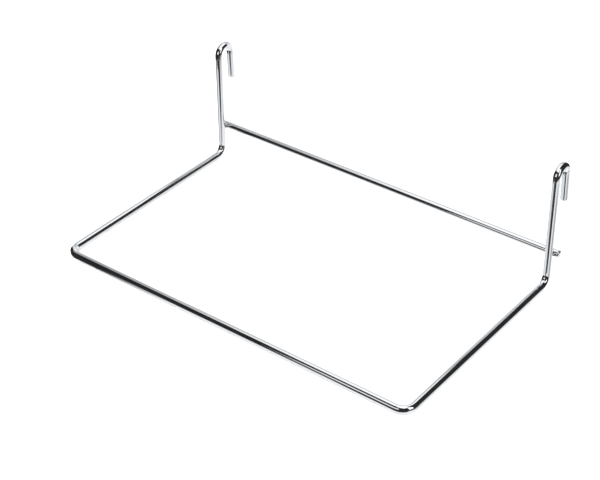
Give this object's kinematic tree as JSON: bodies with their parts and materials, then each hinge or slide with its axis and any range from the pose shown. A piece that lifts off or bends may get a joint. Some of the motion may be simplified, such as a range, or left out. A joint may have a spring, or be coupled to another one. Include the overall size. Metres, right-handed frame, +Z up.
{
  "type": "hanging file rack",
  "caption": "Open rack of bent and welded chromed wire: a U of rails carries hanging files and hooks at the back hang it on a rail of a wall panel.",
  "frame": {"origin": "middle of the rack's box in plan, on the plane under the side rails that it rests on when it lies down", "axes": "+X along the front rail to the right, +Y from the front rail to the wall panel, +Z up along the hook wires"},
  "size_m": [0.323, 0.204, 0.103],
  "materials": {
    "plated_wire": "bright nickel-chrome plate over drawn steel wire",
    "plated_weld": "the same plate over weld metal, slightly rippled and duller"
  },
  "bodies": {
    "root": {"front_rail": "plated_wire", "side_rail_left": "plated_wire", "side_rail_right": "plated_wire", "hook_left": "plated_wire", "hook_right": "plated_wire", "cross_bar": "plated_wire", "bar_weld_left": "plated_weld", "bar_weld_right": "plated_weld"}
  },
  "joints": []
}
